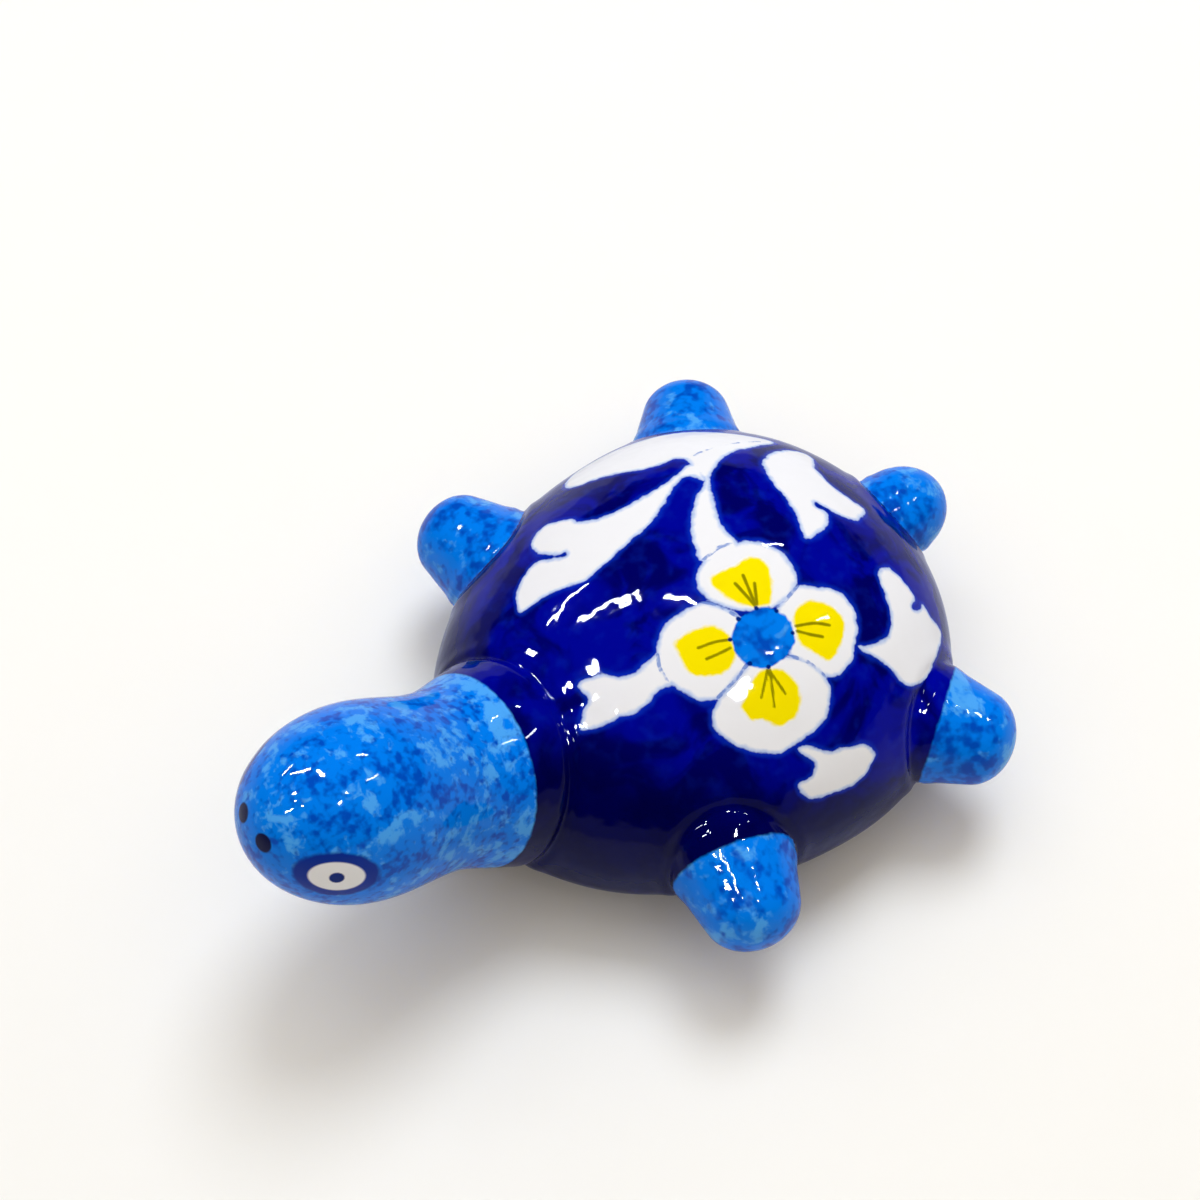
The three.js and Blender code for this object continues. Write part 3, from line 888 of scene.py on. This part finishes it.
def azure_wash(tree, place, paint, grain, thinned):
    """Azure dabbed on with a sponge of this grain: an uneven ground, watery pale dabs and soft dark specks.
    Where it starts it is thinned by a share."""
    pools = noise(tree, place, 6 * grain, Detail=2.0, Distortion=0.4)
    dabs = noise(tree, place, 2.2 * grain, Detail=3.0, Roughness=0.6, Distortion=0.3)
    dabbed = maths(tree, "MULTIPLY_ADD", pools, 0.8, dabs)
    start = ramp(tree, stored(tree, "azure_gap"), -20, -6, thinned, "LINEAR")
    pale = ramp(tree, maths(tree, "ADD", dabbed, start), 0.94, 1.1, 0.9)
    ground = mixed(tree, pale, paint.azure, paint.azure_pale)
    grains = noise(tree, place, 1.2 * grain, Detail=1.5, Roughness=0.6)
    thick = maths(tree, "MULTIPLY_ADD", pools, 0.9, grains)
    specks = ramp(tree, thick, 0.99, 0.68)
    return mixed(tree, specks, ground, paint.azure_deep)


def shaky_hand(tree, place, reach):
    """Small wander of a brushed edge, as much to either side as this reach."""
    wander = noise(tree, place, 1.6 * MM, Detail=2.0)
    return add(tree, "ShaderNodeMapRange", {"Value": wander, "To Min": -reach, "To Max": reach}).outputs[0]


def painted(tree, under, over, area, wander, soft, how="MIX"):
    """Lays a colour over another inside a painted area, with an edge that is this soft."""
    edge = maths(tree, "ADD", stored(tree, area), wander)
    return mixed(tree, ramp(tree, edge, soft, -soft), under, over, how)


def shell_glaze(paint):
    """Cobalt underglaze painting on white slip under a clear glaze, dipped and fired: deep blue with a wet
    gloss, brighter where the cobalt bleeds out round the white leaves."""
    material, tree, shader, place = surface("painted_cobalt_glaze", **CLEAR_GLAZE)
    wander = shaky_hand(tree, place, 0.5)
    ground = cobalt_wash(tree, place, paint)
    bleeding = maths(tree, "ADD", stored(tree, "white_gap"), wander)
    bled = mixed(tree, ramp(tree, bleeding, 1.1, 0.1, 0.65), ground, paint.cobalt_thin)
    slip = mixed(tree, ramp(tree, bleeding, 0.0, -0.8), paint.white_tinted, paint.white)
    leaves = painted(tree, bled, slip, "white_gap", wander, 0.15)
    petals = painted(tree, leaves, paint.yellow, "yellow_gap", wander, 0.3)
    eye = painted(tree, petals, azure_wash(tree, place, paint, 1.6 * MM, 0.0), "flower_eye_gap", wander, 0.2)
    dotted = shaky_hand(tree, place, 2.0)
    ink = mixed(tree, ramp(tree, dotted, -0.35, 0.25), paint.ink, (1, 1, 1))
    lines = painted(tree, eye, ink, "line_gap", dotted, 0.5, "MULTIPLY")
    stamens = painted(tree, lines, paint.ink_deep, "stamen_gap", wander, 0.9, "MULTIPLY")
    seeds = painted(tree, stamens, paint.pupil, "seed_gap", wander, 0.6)
    clear_glaze(tree, shader, place, seeds, 3.2 * MM)
    return material


def limb_colour(tree, place, paint, grain, thinned):
    """Azure from a limb's paint line outwards, the shell's cobalt before it, and the wander of that line."""
    wander = shaky_hand(tree, place, 0.25)
    cobalt = cobalt_wash(tree, place, paint)
    azure = azure_wash(tree, place, paint, grain, thinned)
    return painted(tree, cobalt, azure, "azure_gap", wander, 0.25), wander


def limb_glaze(paint):
    """Azure underglaze on white slip under a clear glaze: mottled where the sponge dabbed it, with a wet
    gloss."""
    material, tree, shader, place = surface("dabbed_azure_glaze", **CLEAR_GLAZE)
    azure, _ = limb_colour(tree, place, paint, 1.4 * MM, 0.0)
    clear_glaze(tree, shader, place, azure, 2.2 * MM)
    return material


def head_glaze(paint):
    """The limbs' azure glaze with the eyes and nostrils brushed on under it."""
    material, tree, shader, place = surface("dabbed_azure_glaze_with_face", **CLEAR_GLAZE)
    azure, wander = limb_colour(tree, place, paint, 1.0 * MM, 0.08)
    ring = painted(tree, azure, paint.eye_ring, "eye_ring_gap", wander, 0.3)
    white = painted(tree, ring, paint.white, "eye_white_gap", 0.0, 0.15)
    pupil = painted(tree, white, paint.pupil, "pupil_gap", 0.0, 0.12)
    nostril = painted(tree, pupil, paint.nostril, "nostril_gap", 0.0, 0.15)
    clear_glaze(tree, shader, place, nostril, 3.6 * MM)
    return material


def bare_body():
    """Fired quartz body without glaze, wiped clean before firing: a matt, slightly sandy off-white."""
    material, tree, shader, place = surface("bare_quartz_body", Roughness=0.85, IOR=1.5)
    grit = noise(tree, place, 0.8 * MM, Detail=3.0)
    sandy = mixed(tree, grit, linear("#d8d0c2"), linear("#efe9de"))
    tree.links.new(sandy, shader.inputs["Base Color"])
    return material


def oval_gap(points, middle, long_way, sizes):
    """Distance of points outside an oval painted round a middle, in millimetres, negative inside it."""
    off = points / MM - np.array(middle)
    way = np.array(long_way) / np.linalg.norm(long_way)
    along = off @ way
    across = np.sqrt(np.maximum((off ** 2).sum(1) - along ** 2, 0))
    level = np.hypot(along / sizes[0], across / sizes[1])
    return (level - 1) * min(sizes)


def paint_face(mesh, points):
    """Keeps on the head where its eyes and nostrils are painted, on both sides alike."""
    folded = np.column_stack([np.abs(points[:, 0]), points[:, 1:]])
    for name, sizes in (("eye_ring_gap", EYE_RING), ("eye_white_gap", EYE_WHITE), ("pupil_gap", PUPIL)):
        store(mesh, name, oval_gap(folded, EYE_MIDDLE, EYE_LONG_WAY, sizes))
    store(mesh, "nostril_gap", oval_gap(folded, NOSTRIL_MIDDLE, (1, 0, 0), NOSTRIL))


def finished(piece, node):
    """Puts a piece on the frame in place of its CAD node."""
    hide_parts(node)
    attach(piece, "root")


def carapace_profile(shell):
    """The upper half's profile: crown, painted dome, rim, joint, and back up the inside."""
    crown = math.pi / 2
    fine_end = crown - PAINTED_REACH / shell.half_width
    fine_rows = round(PAINTED_REACH / PAINTED_ROW)
    plain_rows = round(fine_end * shell.half_width / PLAIN_ROW)
    painted_angles = np.linspace(crown, fine_end, fine_rows)
    plain_angles = np.linspace(fine_end, 0, plain_rows)[1:]
    angles = np.concatenate([painted_angles, plain_angles])
    outside = arc(shell.half_width, shell.dome_rise, shell.rim_height, angles)
    inside_angles = np.linspace(0, crown, INNER_ROWS)
    within = arc(shell.half_width - shell.wall, shell.dome_rise - shell.wall, shell.rim_height, inside_angles)
    return [(r, 0, z) for r, z in outside] + [(r, shell.wall, z) for r, z in within]


def plastron_profile(shell):
    """The lower half's profile: vent, base, belly, rim, joint, and back down the inside to the vent."""
    depth = belly_depth(shell)
    tuck = math.asin(shell.rim_height / depth)
    vent = shell.vent_diameter / 2
    rows = round(tuck * shell.half_width / PLAIN_ROW)
    belly = arc(shell.half_width, depth, shell.rim_height, np.linspace(-tuck, 0, rows))
    inner_depth = depth - shell.wall
    inner_tuck = math.asin((shell.rim_height - shell.base_thickness) / inner_depth)
    inner_angles = np.linspace(0, -inner_tuck, INNER_ROWS)
    within = arc(shell.half_width - shell.wall, inner_depth, shell.rim_height, inner_angles)
    edge = shell.base_half_width - shell.base_rounding
    return [
        (vent, 0, 0), (edge - 2 * shell.base_rounding, 0, 0), (edge, 0, 0),
        *[(r, 0, max(z, BELLY_START)) for r, z in belly],
        *[(r, shell.wall, z) for r, z in within],
        (vent, shell.wall, shell.base_thickness), (vent, 0, 0),
    ]


class TORTOISE_OT_shell(bpy.types.Operator):
    """Makes the two halves of the hollow shell with the painted flower"""

    bl_idname = "tortoise.shell"
    bl_label = "Shell"

    def execute(self, context):
        scene = context.scene
        shell, stubs = scene.tortoise_shell, scene.tortoise_stubs
        rolls = make_rolls(scene)
        tree = egg_tree()
        painted_glaze = shell_glaze(scene.tortoise_glazes)
        sizes = {
            "Columns": SHELL_COLUMNS, "Half Width": shell.half_width, "Front Reach": shell.front_reach,
            "Rear Reach": shell.rear_reach, "Glaze": painted_glaze,
        }
        no_vent = {"Vent Radius": 0.0, "Vent Fade": 0.0, "Vent Setback": 0.0}
        vent = {
            "Vent Radius": shell.vent_diameter / 2, "Vent Setback": shell.vent_setback,
            "Vent Fade": shell.base_half_width - 3 * shell.base_rounding,
        }
        halves = {
            "carapace": (carapace_profile(shell), no_vent),
            "plastron": (plastron_profile(shell), vent),
        }
        for node, (profile, opening) in halves.items():
            piece = grown("glazed_" + node, tree, profile, {**sizes, **opening})
            lute_shell(piece.data, shell, stubs, rolls)
            if node == "plastron":
                piece.data.materials.clear()
                for material in (painted_glaze, bare_body()):
                    piece.data.materials.append(material)
                for face in piece.data.polygons:
                    face.material_index = int(face.center.z < BASE_LEVEL)
            finished(piece, node)
        return {"FINISHED"}


def lute(context, nodes, columns, glazed, starts):
    """Makes luted pieces from their rolls. Each start is where along the roll the azure begins."""
    scene = context.scene
    rolls = make_rolls(scene)
    tree = bpy.data.node_groups.get("rolled_clay") or roll_tree()
    pieces = []
    for node, start in zip(nodes, starts):
        roll = rolls[node]
        profile = [(0, 0, 0)] + [(along, 0, radius) for along, radius in roll.profile]
        piece = grown("glazed_" + node, tree, profile, {
            "Columns": columns, "Root": roll.root, "Bend": roll.bend, "Tip": roll.tip, "Steps": PATH_STEPS,
            "Glaze": glazed,
        })
        mesh = piece.data
        along = np.zeros(len(mesh.vertices), dtype=np.float32)
        mesh.attributes["along"].data.foreach_get("value", along)
        store(mesh, "azure_gap", (start - along) / MM)
        lute_roll(mesh, roll, scene.tortoise_shell, scene.tortoise_stubs)
        finished(piece, node)
        pieces.append(piece)
    return pieces


class TORTOISE_OT_head(bpy.types.Operator):
    """Makes the head and neck with its painted eyes"""

    bl_idname = "tortoise.head"
    bl_label = "Head and neck"

    def execute(self, context):
        scene = context.scene
        start = scene.tortoise_head.paint_start
        head, = lute(context, ["head_and_neck"], HEAD_COLUMNS, head_glaze(scene.tortoise_glazes), [start])
        paint_face(head.data, read_points(head.data))
        return {"FINISHED"}


class TORTOISE_OT_stubs(bpy.types.Operator):
    """Makes the four feet and the tail"""

    bl_idname = "tortoise.stubs"
    bl_label = "Feet and tail"

    def execute(self, context):
        scene = context.scene
        start = scene.tortoise_stubs.root_depth - PAINT_OVERLAP
        nodes = ["front_left_foot", "rear_left_foot", "front_right_foot", "rear_right_foot", "tail"]
        starts = [start, start, 0, 0, 0]
        lute(context, nodes, STUB_COLUMNS, limb_glaze(scene.tortoise_glazes), starts)
        return {"FINISHED"}


def facing(right, back, place):
    """A placing whose X is to the right and whose Z points back, away from what is looked at."""
    right, back = Vector(right).normalized(), Vector(back).normalized()
    upward = back.cross(right).normalized()
    right = upward.cross(back)
    return Matrix.Translation(place) @ Matrix((right, upward, back)).transposed().to_4x4()


def make_lamp(name, start, end, width, power):
    """An area lamp from one direction to another, turned to the tortoise."""
    ends = [Vector(way).normalized() * LAMP_DISTANCE for way in (start, end)]
    middle = (ends[0] + ends[1]) / 2
    span = ends[1] - ends[0]
    lamp = bpy.data.lights.new(name, "AREA")
    lamp.energy = power
    lamp.color = linear(LAMP_COLOUR)
    lamp.shape = "RECTANGLE" if span.length > width else "DISK"
    lamp.size = max(span.length, width)
    lamp.size_y = width
    holder = placed(name, lamp)
    holder.matrix_world = facing(span if span.length > width else (1, 0, 0), middle, middle)
    return holder


def make_world(scene):
    """A pale backdrop, soft light from overhead, and a dim room above a bright horizon in the glaze."""
    world = bpy.data.worlds.new("studio")
    scene.world = world
    world.use_nodes = True
    tree = world.node_tree
    tree.nodes.clear()
    way = add(tree, "ShaderNodeTexCoord").outputs["Generated"]
    height = add(tree, "ShaderNodeSeparateXYZ", {0: way}).outputs["Z"]
    room = mixed(tree, ramp(tree, height, 0.16, 0.22), linear("#989aa8"), linear("#242424"))
    soft = mixed(tree, ramp(tree, height, 0.2, 0.9), linear("#38342c"), linear("#f3e9d8"))
    path = add(tree, "ShaderNodeLightPath").outputs
    lit = mixed(tree, path["Is Glossy Ray"], soft, room)
    seen = mixed(tree, path["Is Camera Ray"], lit, linear("#fdfcf9"))
    light = add(tree, "ShaderNodeBackground", {"Color": seen, "Strength": 1.0})
    add(tree, "ShaderNodeOutputWorld", {"Surface": light.outputs[0]})


def make_floor():
    """A wide sheet of white matt paper, dimmer where the glaze mirrors it."""
    material, tree, shader, place = surface("white_matt_paper", Roughness=0.9, IOR=1.45)
    fibres = noise(tree, place, 30 * MM, Detail=2.0)
    paper = mixed(tree, fibres, linear("#f8f6f1"), linear("#faf8f3"))
    mirrored = add(tree, "ShaderNodeLightPath").outputs["Is Glossy Ray"]
    dimmed = mixed(tree, mirrored, paper, linear("#cccedc"))
    tree.links.new(dimmed, shader.inputs["Base Color"])
    mesh = bpy.data.meshes.new("paper_floor")
    corners = [(x * FLOOR_HALF, y * FLOOR_HALF, FLOOR_LEVEL) for x, y in ((-1, -1), (1, -1), (1, 1), (-1, 1))]
    mesh.from_pydata(corners, [], [(0, 1, 2, 3)])
    mesh.materials.append(material)
    floor = placed("paper_floor", mesh)


def make_camera(scene):
    """The camera at the photograph's viewing angle."""
    flat = math.cos(CAMERA_ELEVATION)
    ahead, aside = math.cos(CAMERA_AZIMUTH), math.sin(CAMERA_AZIMUTH)
    back = Vector((aside * flat, -ahead * flat, math.sin(CAMERA_ELEVATION)))
    right = Vector((ahead, aside, 0))
    lens = bpy.data.cameras.new("camera")
    lens.lens = CAMERA_LENS
    lens.sensor_width = SENSOR_WIDTH
    lens.clip_start = 0.01
    camera = placed("camera", lens)
    camera.matrix_world = facing(right, back, Vector(CAMERA_TARGET) + back * CAMERA_DISTANCE)
    scene.camera = camera


class TORTOISE_OT_stage(bpy.types.Operator):
    """Makes the white floor, the lamps, the world and the camera"""

    bl_idname = "tortoise.stage"
    bl_label = "Stage"

    def execute(self, context):
        scene = context.scene
        make_floor()
        for name, lamp in WIDE_LAMPS.items():
            make_lamp(name, *lamp).visible_glossy = False
        for name, lamp in SLIM_LAMPS.items():
            make_lamp(name, *lamp).visible_diffuse = False
        make_world(scene)
        make_camera(scene)
        scene.view_settings.view_transform = "Standard"
        return {"FINISHED"}


class TORTOISE_PT_panel(bpy.types.Panel):
    """Lists what makes each piece"""

    bl_idname = "TORTOISE_PT_panel"
    bl_label = "Tortoise Paperweight"
    bl_space_type = "VIEW_3D"
    bl_region_type = "UI"
    bl_category = "Tortoise"

    def draw(self, context):
        for operator in OPERATORS:
            self.layout.operator(operator.bl_idname)


SETTINGS = {
    "tortoise_shell": TortoiseShell,
    "tortoise_stubs": TortoiseStubs,
    "tortoise_head": TortoiseHead,
    "tortoise_glazes": TortoiseGlazes,
}
OPERATORS = (TORTOISE_OT_shell, TORTOISE_OT_head, TORTOISE_OT_stubs, TORTOISE_OT_stage)


def register():
    for name, group in SETTINGS.items():
        bpy.utils.register_class(group)
        setattr(bpy.types.Scene, name, bpy.props.PointerProperty(type=group))
    for kind in (*OPERATORS, TORTOISE_PT_panel):
        bpy.utils.register_class(kind)


def unregister():
    for kind in (TORTOISE_PT_panel, *reversed(OPERATORS)):
        bpy.utils.unregister_class(kind)
    for name, group in reversed(SETTINGS.items()):
        delattr(bpy.types.Scene, name)
        bpy.utils.unregister_class(group)


def main():
    """Makes every piece."""
    register()
    bpy.ops.tortoise.shell()
    bpy.ops.tortoise.head()
    bpy.ops.tortoise.stubs()
    bpy.ops.tortoise.stage()


if __name__ == "__main__":
    main()
